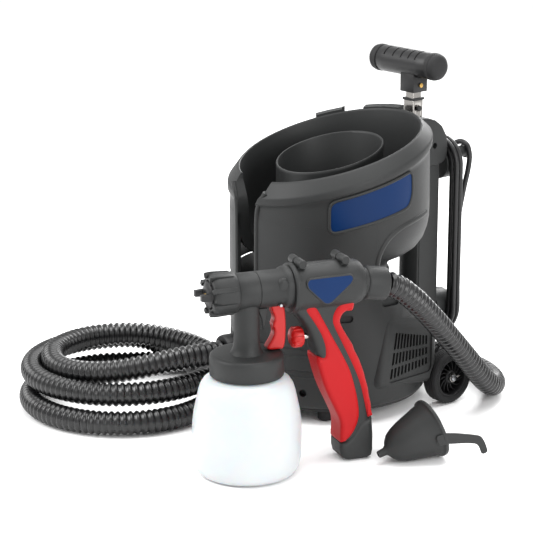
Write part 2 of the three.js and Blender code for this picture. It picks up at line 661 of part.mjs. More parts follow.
function airCap() {
  const face = turned([[2.4, -44], [9, -44], [13.8, -41.5], [13.8, -37.7], [16.5, -37.7],
    [16.5, -34.5], [8, -34.5], [2.6, -42], [2.4, -44]], 28);
  const horn = (side) =>
    sideways([[-52, -3], [-44, -3.6], [-41, -3.6], [-41, 3.6], [-44, 3.6], [-52, 3]],
      ...half(side, 7, 12.6)).translate(0, 0, BARREL.w);
  return solid(onBarrel(face)).add(solid(horn(1))).add(solid(horn(-1)));
}

function fluidNozzle() {
  return onBarrel(turned([[1.4, -45], [2, -45], [2, -41], [5.5, -33], [6.4, -30], [6.4, -6],
    [1.4, -6], [1.4, -45]]));
}

function needle() {
  return onBarrel(turned([[0, -46.5], [0.9, -43], [1, -40], [1, 20], [3, 20], [3, 23], [1, 23],
    [1, 42], [0, 42]], 12));
}

function triggerLever() {
  const lever = join(
    sideways(TRIGGER, -6.5, 6.5, 1.2),
    crosswise(disc(4.4, -6.5, 6.5, 16), PIVOT.u, PIVOT.w),
  );
  return cut(lever, crosswise(disc(1.9, -10, 10, 16), PIVOT.u, PIVOT.w));
}

function paintCup() {
  return turned([[0, 0], [44, 0], [50, 3], [54, 10], [56, 26], [56.3, 44], [54.6, 62],
    [51.6, 78], [48.5, 92], [45, 99], [40, 102.6], [34, 104], [34, 118], [31.8, 118],
    [31.8, 102.5], [39, 100.6], [43.2, 97.4], [46.5, 91], [49.6, 77], [52.5, 61.5], [54.2, 44],
    [53.9, 26], [52, 11], [48.6, 5], [43, 2.4], [0, 2.4]], 36);
}

add("spray_head", sprayHead(), "charcoal", gun);
add("union_nut", unionNut(), "charcoal", gun);
add("air_cap", airCap(), "black", gun);
add("fluid_nozzle", fluidNozzle(), "brass", gun);
add("needle", needle(), "steel", gun);
add("trigger", triggerLever(), "red", gun);
add("trigger_pin", crosswise(disc(1.5, -17, 17, 12), PIVOT.u, PIVOT.w), "steel", gun);
add("paint_cup", paintCup(), "milky", gun);
add("cup_gasket", ring(27, 33.6, 118.3, 120.7, 32), "rubber", gun);
add("siphon_tube", cord([[0, 0, 176], [0, 0, 130], [0, 0, 108], [3, 0, 88], [12, 0, 58],
  [24, 0, 30], [33, 0, 12]], 5.6, 18, 8, 3.6), "milky", gun);

// ---------------------------------------------------------------- viscosity cup
// It lies on its side, resting on its cone, its rim and the hook of its handle.
const VISCOSITY = { x: 202.4, y: -110, z: 10.25, heading: 74, tilt: 18, scale: 1.1 };

function viscosityCup() {
  const shell = turned([[1.6, 0], [3.4, 0], [3.8, 8], [8.4, 12], [13, 16], [16.6, 24], [19, 31],
    [22.6, 43], [26.4, 56], [28.6, 58], [28.6, 61], [26.2, 61], [21, 43], [17.4, 32],
    [14.8, 25], [11.4, 18], [7.4, 14.4], [1.6, 9], [1.6, 0]], 28);
  const handle = across([[-5, 50], [5, 50], [7, 60], [20, 88], [35, 90], [35, 97], [15, 95],
    [-4, 61]], 25.4, 28.4, 0.8);
  return geometryOf(join(shell, handle))
    .scale(VISCOSITY.scale, VISCOSITY.scale, VISCOSITY.scale)
    .rotateZ(-Math.PI / 2)
    .rotateY(rad(90 - VISCOSITY.tilt))
    .rotateZ(rad(VISCOSITY.heading))
    .translate(VISCOSITY.x, VISCOSITY.y, VISCOSITY.z);
}

add("viscosity_cup", viscosityCup(), "charcoal");

export default kit;
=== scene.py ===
import bmesh
import bpy
import json
import math
from mathutils import Matrix, Vector


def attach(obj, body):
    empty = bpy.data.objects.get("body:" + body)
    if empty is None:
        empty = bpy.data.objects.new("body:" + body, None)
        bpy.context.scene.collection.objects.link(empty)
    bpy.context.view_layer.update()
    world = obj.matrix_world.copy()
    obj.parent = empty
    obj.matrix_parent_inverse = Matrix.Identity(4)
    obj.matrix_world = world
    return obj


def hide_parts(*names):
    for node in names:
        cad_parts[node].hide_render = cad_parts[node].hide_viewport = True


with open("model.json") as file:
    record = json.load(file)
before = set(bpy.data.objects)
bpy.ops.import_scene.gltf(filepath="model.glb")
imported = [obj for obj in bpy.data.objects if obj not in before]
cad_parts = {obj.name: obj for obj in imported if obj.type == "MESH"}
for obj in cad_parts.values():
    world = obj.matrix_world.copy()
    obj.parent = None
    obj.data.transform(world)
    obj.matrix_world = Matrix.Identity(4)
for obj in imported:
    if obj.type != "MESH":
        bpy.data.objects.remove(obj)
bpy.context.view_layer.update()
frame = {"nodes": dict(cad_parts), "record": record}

# ------------------------------------------------------------------ where things are
# Shapes are drawn in millimetres about the drum's axis, or about the gun's cup axis with X back
# along the barrel, and these matrices carry them into the frame in metres.
MM = 0.001
DRUM = Matrix.Scale(MM, 4) @ Matrix.Translation((-71.9, 32.7, 0))
GUN = DRUM @ Matrix.Translation((128.1, -225.1, 0)) @ Matrix.Rotation(math.radians(71.5), 4, "Z")
FACING_X = Matrix.Rotation(math.radians(90), 4, "Y")
FACING_Y = Matrix.Rotation(math.radians(-90), 4, "X")
TO_OUTLET = Matrix.Rotation(math.radians(-100), 4, "Z")
AXLE = Matrix.Translation((0, 84, 30))
HEAD_AXIS = Matrix.Translation((0, 0, 190))
BARREL_AXIS = Matrix.Translation((0, 0, 192))


def spot(x, y, z):
    return DRUM @ Vector((x, y, z))


# ------------------------------------------------------------------ materials
def linear(colour):
    """Linear light from 0 to 255 screen values."""
    shares = [c / 255 for c in colour]
    return tuple(c / 12.92 if c < 0.043 else ((c + 0.055) / 1.055) ** 2.4 for c in shares)


def surface(
    name, colour, rough=0.5, metal=0.0, grain=900.0, bump=0.1, mottle=0.12, streak=None, **sockets
):
    """A procedural material: a fine grain in the bump, and a slow drift in colour and gloss."""
    mat = bpy.data.materials.new(name)
    mat.use_nodes = True
    tree = mat.node_tree
    shader = tree.nodes["Principled BSDF"]
    new, link = tree.nodes.new, tree.links.new
    where = new("ShaderNodeTexCoord")
    stretch = new("ShaderNodeMapping")
    stretch.inputs["Scale"].default_value = streak or (1, 1, 1)
    link(where.outputs["Object"], stretch.inputs["Vector"])
    fine = new("ShaderNodeTexNoise")
    fine.inputs["Scale"].default_value = grain
    fine.inputs["Detail"].default_value = 3
    slow = new("ShaderNodeTexNoise")
    slow.inputs["Scale"].default_value = 28
    slow.inputs["Detail"].default_value = 5
    for noise in (fine, slow):
        link(stretch.outputs["Vector"], noise.inputs["Vector"])
    tint = new("ShaderNodeMix")
    tint.data_type = "RGBA"
    base = linear(colour)
    tint.inputs[6].default_value = (*[c * (1 - mottle) for c in base], 1)
    tint.inputs[7].default_value = (*[min(c * (1 + mottle), 1) for c in base], 1)
    link(slow.outputs["Fac"], tint.inputs[0])
    link(tint.outputs[2], shader.inputs["Base Color"])
    gloss = new("ShaderNodeMapRange")
    gloss.inputs["To Min"].default_value = max(rough - 0.07, 0.02)
    gloss.inputs["To Max"].default_value = min(rough + 0.09, 1)
    link(slow.outputs["Fac"], gloss.inputs["Value"])
    link(gloss.outputs["Result"], shader.inputs["Roughness"])
    relief = new("ShaderNodeBump")
    relief.inputs["Strength"].default_value = bump
    relief.inputs["Distance"].default_value = 0.0004
    link(fine.outputs["Fac"], relief.inputs["Height"])
    link(relief.outputs["Normal"], shader.inputs["Normal"])
    shader.inputs["Metallic"].default_value = metal
    for socket, value in sockets.items():
        shader.inputs[socket.replace("_", " ")].default_value = value
    return mat


MATERIALS = {
    "charcoal_shell": surface(
        "moulded_charcoal", (33, 34, 34), 0.5, bump=0.3, grain=1500, mottle=0.1,
        Specular_IOR_Level=0.32,
    ),
    "black_plastic": surface(
        "satin_black", (22, 22, 23), 0.42, bump=0.18, grain=1800, Specular_IOR_Level=0.36
    ),
    "red_overmould": surface(
        "soft_red", (160, 10, 16), 0.48, bump=0.3, grain=2200, mottle=0.07, Specular_IOR_Level=0.2
    ),
    "red_plastic": surface(
        "glossy_red", (166, 18, 16), 0.36, bump=0.1, mottle=0.06, Specular_IOR_Level=0.35
    ),
    "blue_label": surface(
        "label_film", (2, 36, 78), 0.34, bump=0.05, mottle=0.1, Specular_IOR_Level=0.14
    ),
    "hose_black": surface("hose_plastic", (15, 15, 16), 0.27, bump=0.05, mottle=0.12),
    "lead_black": surface(
        "lead_sheath", (17, 17, 18), 0.4, bump=0.25, grain=2500, Specular_IOR_Level=0.4
    ),
    "milky_cup": surface(
        "milky_plastic", (186, 189, 191), 0.34, bump=0.1, grain=700, mottle=0.015,
        Subsurface_Weight=0.4, Subsurface_Scale=0.01,
    ),
    "chrome_tube": surface(
        "bright_chrome", (168, 165, 161), 0.16, metal=1.0, grain=1200, bump=0.05, mottle=0.04,
        streak=(1, 1, 0.06),
    ),
    "bare_steel": surface("turned_steel", (160, 162, 165), 0.32, metal=1.0, bump=0.2, mottle=0.08),
    "brass_part": surface("turned_brass", (186, 150, 84), 0.3, metal=1.0, bump=0.12, mottle=0.1),
    "soft_rubber": surface(
        "dull_rubber", (24, 24, 25), 0.66, bump=0.45, grain=2600, Specular_IOR_Level=0.35
    ),
    "tyre_rubber": surface(
        "tyre_rubber_mix", (19, 19, 20), 0.72, bump=0.55, grain=2200, Specular_IOR_Level=0.35
    ),
}


# ------------------------------------------------------------------ mesh helpers
def fillet(points, radius, closed=False, steps=4):
    """The outline with its corners rounded."""
    made = []
    last = len(points) - 1
    for i, here in enumerate(points):
        if not closed and i in (0, last):
            made.append(tuple(here))
            continue
        corner = Vector(here)
        back = Vector(points[i - 1]) - corner
        ahead = Vector(points[(i + 1) % len(points)]) - corner
        size = min(radius, 0.45 * back.length, 0.45 * ahead.length)
        start = corner + back.normalized() * size
        end = corner + ahead.normalized() * size
        for k in range(steps + 1):
            t = k / steps
            made.append(tuple(start * (1 - t) ** 2 + corner * (2 * t * (1 - t)) + end * t**2))
    return made


def bridge(bm, rings, loop=False):
    """Faces between rows of vertices; a row of one vertex closes to a point."""
    pairs = list(zip(rings, rings[1:] + rings[:1])) if loop else list(zip(rings, rings[1:]))
    for a, b in pairs:
        n = max(len(a), len(b))
        for i in range(n):
            j = (i + 1) % n
            corners = [a[i % len(a)], a[j % len(a)], b[j % len(b)], b[i % len(b)]]
            unique = list(dict.fromkeys(corners))
            if len(unique) > 2:
                bm.faces.new(unique)


def lathe(profile, segments=96, closed=False, shape=None):
    """A profile of (radius, height) turned about Z; shape(angle, r, z) may change the radius."""
    bm = bmesh.new()
    rings = []
    for r, z in profile:
        if r < 1e-6:
            rings.append([bm.verts.new((0, 0, z))])
            continue
        ring = []
        for i in range(segments):
            angle = 2 * math.pi * i / segments
            radius = shape(angle, r, z) if shape else r
            ring.append(bm.verts.new((radius * math.cos(angle), radius * math.sin(angle), z)))
        rings.append(ring)
    bridge(bm, rings, closed)
    bmesh.ops.recalc_face_normals(bm, faces=bm.faces)
    return bm


def block(x0, x1, y0, y1, z0, z1):
    bm = bmesh.new()
    bmesh.ops.create_cube(bm, size=1)
    size = Matrix.Diagonal((x1 - x0, y1 - y0, z1 - z0, 1))
    middle = Matrix.Translation(((x0 + x1) / 2, (y0 + y1) / 2, (z0 + z1) / 2))
    bm.transform(middle @ size)
    return bm


def prism(outline, low, high):
    """An outline in X and Y, from one height to another."""
    bm = bmesh.new()
    rows = [[bm.verts.new((x, y, z)) for x, y in outline] for z in (low, high)]
    bridge(bm, rows)
    bm.faces.new(rows[0])
    bm.faces.new(rows[1])
    bmesh.ops.recalc_face_normals(bm, faces=bm.faces)
    return bm


def moved(bm, matrix):
    bm.transform(matrix)
    return bm


def merged(*parts):
    """Several closed shapes in one mesh."""
    whole = bmesh.new()
    for part in parts:
        mesh = bpy.data.meshes.new("part")
        part.to_mesh(mesh)
        part.free()
        whole.from_mesh(mesh)
        bpy.data.meshes.remove(mesh)
    return whole


def evaluated(obj):
    """The object's mesh with its modifiers, as a bmesh; the object is taken away."""
    bpy.context.view_layer.update()
    graph = bpy.context.evaluated_depsgraph_get()
    mesh = bpy.data.meshes.new_from_object(obj.evaluated_get(graph))
    bm = bmesh.new()
    bm.from_mesh(mesh)
    bpy.data.meshes.remove(mesh)
    bpy.data.objects.remove(obj)
    return bm


def temporary(bm):
    mesh = bpy.data.meshes.new("temporary")
    bm.to_mesh(mesh)
    bm.free()
    obj = bpy.data.objects.new("temporary", mesh)
    bpy.context.scene.collection.objects.link(obj)
    return obj


def combined(bm, tool, operation="DIFFERENCE"):
    """One shape with another taken from it, added to it or kept inside it."""
    body, cutter = temporary(bm), temporary(tool)
    boolean = body.modifiers.new("cut", "BOOLEAN")
    boolean.operation = operation
    boolean.solver = "EXACT"
    boolean.use_self = True
    boolean.object = cutter
    made = evaluated(body)
    bpy.data.objects.remove(cutter)
    return made


def slab(outline, half, rounding, steps=5, smooth=True):
    """A side view of (X, Z) points given a rounded thickness of half each way along Y."""
    points = smooth_loop(outline) if smooth else outline
    curve = bpy.data.curves.new("outline", "CURVE")
    curve.dimensions = "2D"
    curve.fill_mode = "BOTH"
    spline = curve.splines.new("POLY")
    spline.points.add(len(points) - 1)
    for point, (x, y) in zip(spline.points, points):
        point.co = (x, y, 0, 1)
    spline.use_cyclic_u = True
    curve.extrude = half - rounding
    curve.bevel_depth = rounding
    curve.bevel_resolution = steps
    curve.offset = -rounding
    obj = bpy.data.objects.new("outline", curve)
    bpy.context.scene.collection.objects.link(obj)
    bm = evaluated(obj)
    bmesh.ops.remove_doubles(bm, verts=bm.verts, dist=0.02)
    bmesh.ops.recalc_face_normals(bm, faces=bm.faces)
    return moved(bm, Matrix.Rotation(math.radians(90), 4, "X"))


def smooth_loop(points, per_span=5):
    """A closed smooth curve through the points."""
    made = []
    n = len(points)
    for i in range(n):
        a, b, c, d = (Vector(points[(i + k) % n]) for k in (-1, 0, 1, 2))
        for k in range(per_span):
            made.append(tuple(catmull(a, b, c, d, k / per_span)))
    return made


def catmull(a, b, c, d, t):
    return (
        b * 2 + (c - a) * t + (a * 2 - b * 5 + c * 4 - d) * t**2 + (b * 3 - a - c * 3 + d) * t**3
    ) * 0.5


def smooth_path(points, per_span=12):
    """A smooth open curve through the points, the one that the solids follow."""
    pts = [Vector(p) for p in points]
    pts = [pts[0] * 2 - pts[1]] + pts + [pts[-1] * 2 - pts[-2]]
    made = []
    for a, b, c, d in zip(pts, pts[1:], pts[2:], pts[3:]):
        made += [catmull(a, b, c, d, k / per_span) for k in range(per_span)]
    return made + [pts[-2]]


def evenly(path, step):
    """The path again, as points a fixed distance apart."""
    lengths = [0.0]
    for a, b in zip(path, path[1:]):
        lengths.append(lengths[-1] + (b - a).length)
    count = max(round(lengths[-1] / step), 1)
    made, at = [], 0
    for k in range(count + 1):
        want = lengths[-1] * k / count
        while at < len(path) - 2 and lengths[at + 1] < want:
            at += 1
        span = lengths[at + 1] - lengths[at]
        made.append(path[at].lerp(path[at + 1], (want - lengths[at]) / span if span else 0))
    return made


def tube(path, radius, sides=16, caps=True):
    """A tube along a path; radius is a number or radius(index)."""
    bm = bmesh.new()
    rows = []
    side = None
    for i, point in enumerate(path):
        ahead = (path[min(i + 1, len(path) - 1)] - path[max(i - 1, 0)]).normalized()
        if side is None:
            side = ahead.orthogonal().normalized()
        side = (side - ahead * side.dot(ahead)).normalized()
        up = ahead.cross(side)
        r = radius(i) if callable(radius) else radius
        rows.append(
            [
                bm.verts.new(point + (side * math.cos(a) + up * math.sin(a)) * r)
                for a in (2 * math.pi * k / sides for k in range(sides))
            ]
        )
    bridge(bm, rows)
    if caps:
        bm.faces.new(rows[0])
        bm.faces.new(rows[-1])
    bmesh.ops.recalc_face_normals(bm, faces=bm.faces)
    return bm


def piece(name, bm, where, body, slot, replaces=(), bevel=0.0, segments=2, sharp=38):
    """One finished Blender piece, riding on a body and standing for CAD nodes."""
    bm.transform(where)
    mesh = bpy.data.meshes.new(name)
    bm.to_mesh(mesh)
    bm.free()
    mesh.validate()
    mesh.polygons.foreach_set("use_smooth", [True] * len(mesh.polygons))
    mesh.set_sharp_from_angle(angle=math.radians(sharp))
    obj = bpy.data.objects.new(name, mesh)
    bpy.context.scene.collection.objects.link(obj)
    obj.data.materials.append(MATERIALS[slot])
    if bevel:
        rounding = obj.modifiers.new("rounding", "BEVEL")
        rounding.width = bevel * MM
        rounding.segments = segments
        rounding.limit_method = "ANGLE"
        rounding.angle_limit = math.radians(sharp)
        rounding.harden_normals = True
    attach(obj, body)
    if replaces:
        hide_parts(*replaces)
    return obj


# ------------------------------------------------------------------ camera, floor and light
def aim(obj, target):
    obj.rotation_euler = (Vector(target) - obj.location).to_track_quat("-Z", "Y").to_euler()


def studio():
    lens = bpy.data.cameras.new("camera")
    lens.lens = 135.1
    lens.sensor_width = 36
    lens.clip_end = 60
    camera = bpy.data.objects.new("camera", lens)
    camera.location = spot(1616.8, -1448.0, 751.5)
    bpy.context.scene.collection.objects.link(camera)
    aim(camera, spot(140.4, -209.2, 217))
    bpy.context.scene.camera = camera

    bm = bmesh.new()
    bmesh.ops.create_grid(bm, x_segments=8, y_segments=8, size=20)
    mesh = bpy.data.meshes.new("studio_floor")
    bm.to_mesh(mesh)
    bm.free()
    floor = bpy.data.objects.new("studio_floor", mesh)
    floor.location.z = -0.0006
    floor.data.materials.append(
        surface("studio_floor", (252, 252, 252), 0.8, grain=120, bump=0.02, mottle=0.003)
    )
    bpy.context.scene.collection.objects.link(floor)

    world = bpy.data.worlds.new("studio")
    world.use_nodes = True
    world.node_tree.nodes["Background"].inputs[0].default_value = (1, 1, 1, 1)
    world.node_tree.nodes["Background"].inputs[1].default_value = 0.95
    bpy.context.scene.world = world
    bpy.context.scene.view_settings.view_transform = "Standard"
    middle = spot(60, -60, 170)
    for name, at, size, power in (
        ("key", (-900, -1500, 1500), 1.1, 34),
        ("fill", (1900, -200, 900), 1.2, 22),
        ("top", (100, 100, 2000), 1.4, 30),
        ("rim", (-700, 1500, 1100), 0.9, 26),
    ):
        light = bpy.data.lights.new(name, "AREA")
        light.shape = "SQUARE"
        light.size = size
        light.energy = power
        lamp = bpy.data.objects.new(name, light)
        lamp.location = spot(*at)
        aim(lamp, middle)
        bpy.context.scene.collection.objects.link(lamp)


studio()

# ------------------------------------------------------------------ air hose
HOSE_RUN = [
    (177.5, -77.1, 183.1), (179, -70, 180.4), (180.4, -56, 171.5), (179.5, -34, 154),
    (176, -10, 133), (170.5, 18, 107.5), (164, 46, 82), (157, 74, 56.5), (149.5, 99, 34.5),
    (140, 122, 20), (125, 143, 14.2), (103, 159, 13), (74, 169, 13), (36, 173, 13), (0, 173, 13),
    (-36, 172.5, 13), (-72, 169, 13), (-105, 156, 13), (-132, 131, 13), (-147, 97, 13),
    (-151.5, 60, 13), (-152, 22, 13), (-153, -16, 13), (-160, -56, 13), (-177, -95, 13),
    (-201.6, -132.2, 13),
]
HOSE_END = [
    (-163.4, -263.7, 51), (-135.7, -268.6, 51.5), (-108, -263.7, 53.5), (-82, -249, 57),
    (-60, -226, 62.5), (-44, -199, 68), (-34.5, -175, 71), (-28, -153, 71.5),
    (-23.9, -135.6, 71.5),
]
COIL_LOW, COIL_HIGH = Vector((-121.9, -199.1, 13.1)), Vector((-135.7, -187.6, 39.4))
COIL_RADIUS, HOSE_RADIUS, RIB_PITCH = 104, 13, 7.0


def ease(value, start, end):
    t = min(max((value - start) / (end - start), 0), 1)
    return t * t * (3 - 2 * t)


def coil_points():
    """Two turns and a bit: one on the floor, one on top of it, then in towards the outlet."""
    made = []
    for degrees in range(156, 955, 12):
        lift = ease(degrees, 425, 500)
        tuck = ease(degrees, 780, 860)
        middle = COIL_LOW.lerp(COIL_HIGH, lift)
        radius = COIL_RADIUS - 23 * tuck
        angle = math.radians(degrees)
        made.append(
            middle + Vector((radius * math.cos(angle), radius * math.sin(angle), 11.5 * tuck))
        )
    return made


def air_hose():
    points = HOSE_RUN + coil_points() + HOSE_END
    rib = [10.9, 11.1, 12.5, 13.0, 13.0, 12.4]
    samples = len(rib)
    path = evenly(smooth_path(points), RIB_PITCH / samples)
    bm = tube(path, lambda i: rib[i % samples], 20)
    hose = piece(
        "corrugated_hose", bm, DRUM, "caddy", "hose_black",
        ("air_hose", "hose_coil", "air_hose_end"), sharp=75,
    )


air_hose()

# ------------------------------------------------------------------ mains lead
LEAD_RISE = [
    (0, 180.5, 36), (0, 187, 36.9), (0, 193, 39.5), (0.2, 198.4, 43.6), (0.6, 202.5, 49),
    (1, 205.2, 56), (2, 205.4, 66), (4, 202.5, 92), (6.5, 198.5, 120), (8.5, 195.5, 150),
    (10, 196, 180), (11.6, 201, 210), (12.8, 206.5, 234), (12.4, 208.8, 250), (8, 209.3, 261.5),
    (-1, 209.2, 265), (-10, 207.5, 262), (-17, 203, 253), (-21, 195.5, 241), (-22.6, 188.5, 228),
    (-22.8, 184.6, 214),
]
LEAD_TAIL = [
    (-29.1, 177, 53), (-29.3, 178, 44), (-30.5, 182.5, 36.5), (-33, 190, 30), (-37.5, 199, 22.5),
    (-44.5, 207.5, 16), (-54, 213, 12.2), (-65.5, 215, 11),
]
LEAD_RADIUS = 3.25
PEG_HIGH, PEG_LOW = 246, 74
LOOPS = [(22.55, 177), (22.55, 170.4), (29.05, 170.4), (29.05, 177)]


def lead_loops():
    """Round the two pegs, two turns on the pegs and two on top of those."""
    made = [(-22.6, 181, 200), (-22.55, 177.6, 185)]
    before = LOOPS[0]
    for radius, y in LOOPS:
        made += [(-before[0], y, 165), (-before[0], y, 140), (-radius, y, 104), (-radius, y, 88)]
        for step in range(13):
            angle = math.radians(180 + 15 * step)
            made.append((radius * math.cos(angle), y, PEG_LOW + radius * math.sin(angle)))
        made += [(radius, y, z) for z in (90, 130, 170, 210, 232)]
        for step in range(13):
            angle = math.radians(15 * step)
            made.append((radius * math.cos(angle), y, PEG_HIGH + radius * math.sin(angle)))
        made.append((-radius, y, 205))
        before = (radius, y)
    return made + [(-before[0], before[1], z) for z in (165, 125, 88, 68)]


def mains_lead():
    points = LEAD_RISE + lead_loops() + LEAD_TAIL
    path = evenly(smooth_path(points, 8), 2.6)
    bm = tube(path, LEAD_RADIUS, 12)
    lead = piece(
        "sheathed_lead", bm, DRUM, "caddy", "lead_black",
        ("mains_lead", "mains_coil", "mains_lead_tail"), sharp=60,
    )


mains_lead()


# ------------------------------------------------------------------ drum
# The tub's profile as (radius, height), before its top is leant back.
TUB_OUTER = [
    (60, 150.5), (66, 150.5), (66, 158), (70, 163.5), (78, 168.5), (90, 174.5), (99, 181.5),
    (105.5, 191), (109.4, 202), (111.2, 213), (111.5, 222), (111.2, 240), (110.6, 262),
    (110.8, 265.5), (112.2, 268.5), (113.3, 270), (113.5, 271.6), (113.5, 276.4), (113.1, 277.8),
    (112.2, 279), (103.4, 289.4), (102.2, 290.5), (100.8, 290.9), (99.8, 290.2), (99.4, 288.6),
]
TUB_INNER = [(98.4, 278), (97.4, 262), (97, 216), (94, 200), (86, 184), (76, 176), (60, 172)]
# The right-hand arch under the tub as (degrees from the front, height).
ARCH = [
    (76, 150.5), (76, 168), (76.4, 182), (78.5, 194), (83.5, 206.5), (92, 215.5), (104, 220),
    (121, 222.5),
]
SLOT = [
    (-16, 140), (16, 140), (17, 228), (20, 240), (30, 256), (36, 340), (-36, 340), (-30, 256),
    (-20, 240), (-17, 228),
]
SLOT_TURN = Matrix.Rotation(math.radians(-7), 4, "Z")
WALL = 111.5


def lean(bm, low=216, high=262, slope=0.265, across=0.055):
    """Tilts the top of the drum: what is above low rises with Y, and a little with X."""
    for v in bm.verts:
        share = min(max((v.co.z - low) / (high - low), 0), 1)
        v.co.z += (slope * v.co.y + across * v.co.x) * share
    return bm


def on_wall(s, z, radius=WALL):
    """A point on the drum's wall, s millimetres round it from the right-hand side."""
    angle = s / WALL
    return Vector((radius * math.cos(angle), radius * math.sin(angle), z))


def bent(r0, r1, a0, a1, low, high, steps=10):
    """A block bent round the drum's axis between two angles."""
    bm = bmesh.new()
    rows = []
    for k in range(steps + 1):
        angle = math.radians(a0 + (a1 - a0) * k / steps)
        c, s = math.cos(angle), math.sin(angle)
        corners = ((r0, low), (r1, low), (r1, high), (r0, high))
        rows.append([bm.verts.new((r * c, r * s, z)) for r, z in corners])
    bridge(bm, rows)
    bm.faces.new(rows[0])
    bm.faces.new(rows[-1])
    bmesh.ops.recalc_face_normals(bm, faces=bm.faces)
    return bm


def arch_columns():
    """The skirt's lower edge as (angle from the front, height), from arch to arch."""
    right = [tuple(p)[:2] for p in smooth_path([(d, z, 0) for d, z in ARCH], 5)]
    front = [(d, ARCH[0][1]) for d in range(-72, 76, 4)]
    left = [(-d, z) for d, z in reversed(right)]
    return left + front + right


def apron():
    """The straight-sided skirt that closes the front of the tub down to the base."""
    bm = bmesh.new()
    rows = []
    for degrees, low in arch_columns():
        angle = math.radians(degrees - 90)
        c, s = math.cos(angle), math.sin(angle)
        corners = ((107.5, low), (WALL, low), (WALL, 223), (107.5, 223))
        rows.append([bm.verts.new((r * c, r * s, z)) for r, z in corners])
    bridge(bm, rows)
    bm.faces.new(rows[0])
    bm.faces.new(rows[-1])
    bmesh.ops.recalc_face_normals(bm, faces=bm.faces)
    return bm


def arch_flange(side):
    """The thick rounded edge of one arch; side is 1 on the right and -1 on the left."""
    edge = smooth_path([(d, z, 0) for d, z in ARCH], 6)
    path = []
    for point in edge:
        angle = math.radians(side * point[0] - 90)
        path.append(Vector((109.6 * math.cos(angle), 109.6 * math.sin(angle), point[1])))
    return tube(path, 3.6, 14)


def slot_border(side):
    """The rolled edge down one side of the front slot."""
    edge = [(19.5, 152), (19.5, 190), (20, 226), (23, 240), (32, 255)]
    path = []
    for point in smooth_path([(x, z, 0) for x, z in edge], 6):
        depth = math.sqrt(110.6**2 - point[0] ** 2)
        path.append(SLOT_TURN @ Vector((side * point[0], -depth, point[1])))
    return tube(path, 2.8, 12)


def tub():
    """The leant bowl and its skirt, both cut by the front slot, with tabs and rolled edges."""
    shell = lean(lathe(TUB_OUTER + TUB_INNER, 160, closed=True))
    facing = SLOT_TURN @ Matrix.Rotation(math.radians(90), 4, "X")
    body = combined(shell, moved(prism(SLOT, 80, 130), facing))
    skirt = combined(apron(), moved(prism(SLOT, 80, 130), facing))
    tabs = [
        lean(bent(100.5, 109, 130, 147, 281, 293.6)),
        lean(bent(100.5, 103.5, 128.6, 130.4, 281, 296)),
        lean(bent(100.5, 109, 88, 116, 281, 292.6)),
    ]
    flanges = [arch_flange(1), arch_flange(-1), slot_border(1), slot_border(-1)]
    piece(
        "drum_shell", merged(body, skirt, *tabs, *flanges), DRUM, "caddy", "charcoal_shell",
        ("tub_shell",), bevel=0.7, sharp=40,
    )


def well():
    profile = [
        (0, 174), (50, 174), (56, 175), (57, 180), (59.3, 216), (59.6, 279), (59.8, 281.4),
        (59, 282.4), (57.8, 282.2), (57.2, 280.6), (57, 216), (54.6, 181), (50, 178), (0, 178),
    ]
    bm = lean(lathe(profile, 128), slope=0.24, across=0.03)
    piece("well_cup", bm, DRUM, "caddy", "charcoal_shell", ("inner_well",), sharp=50)


def span(outline, x):
    """The lowest and highest point of a convex outline at x."""
    hits = []
    for (x0, y0), (x1, y1) in zip(outline, outline[1:] + outline[:1]):
        if x0 != x1 and min(x0, x1) <= x <= max(x0, x1):
            hits.append(y0 + (y1 - y0) * (x - x0) / (x1 - x0))
    return min(hits), max(hits)


def wall_panel(outline, radius, columns=48, rows=10):
    """A sheet of the outline laid on the drum's wall; its columns crowd together at the ends."""
    left, right = min(p[0] for p in outline), max(p[0] for p in outline)
    bm = bmesh.new()
    grid = []
    for i in range(columns + 1):
        share = 0.5 - 0.5 * math.cos(math.pi * (0.004 + 0.992 * i / columns))
        s = left + (right - left) * share
        low, high = span(outline, s)
        heights = [low + (high - low) * j / rows for j in range(rows + 1)]
        grid.append([bm.verts.new(on_wall(s, z, radius)) for z in heights])
    for a, b in zip(grid, grid[1:]):
        for j in range(rows):
            bm.faces.new((a[j], b[j], b[j + 1], a[j + 1]))
    bmesh.ops.recalc_face_normals(bm, faces=bm.faces)
    return bm


def solidified(bm, depth):
    bmesh.ops.solidify(bm, geom=bm.faces, thickness=depth)
    bmesh.ops.recalc_face_normals(bm, faces=bm.faces)
    return bm


# The label's corners as (millimetres round the wall from the right-hand side, height).
LABEL = [(-81, 216), (16, 237), (22, 250), (21, 277), (-81, 250.5)]


def filled(outline, spacing=2.5):
    """The closed outline with points added along its long edges."""
    made = []
    for (x0, y0), (x1, y1) in zip(outline, outline[1:] + outline[:1]):
        steps = max(int(math.hypot(x1 - x0, y1 - y0) / spacing), 1)
        made += [(x0 + (x1 - x0) * k / steps, y0 + (y1 - y0) * k / steps) for k in range(steps)]
    return made


def label():
    outline = fillet(LABEL, 9, closed=True, steps=6)
    panel = solidified(wall_panel(outline, WALL + 0.5), 1.2)
    piece("label_film", panel, DRUM, "caddy", "blue_label", ("label_panel",), sharp=50)
    border = [on_wall(s, z, WALL + 0.4) for s, z in filled(outline)]
    rim = tube(border + [border[0]], 1.7, 10, caps=False)
    piece("label_frame", rim, DRUM, "caddy", "charcoal_shell", sharp=60)


tub()
well()
label()


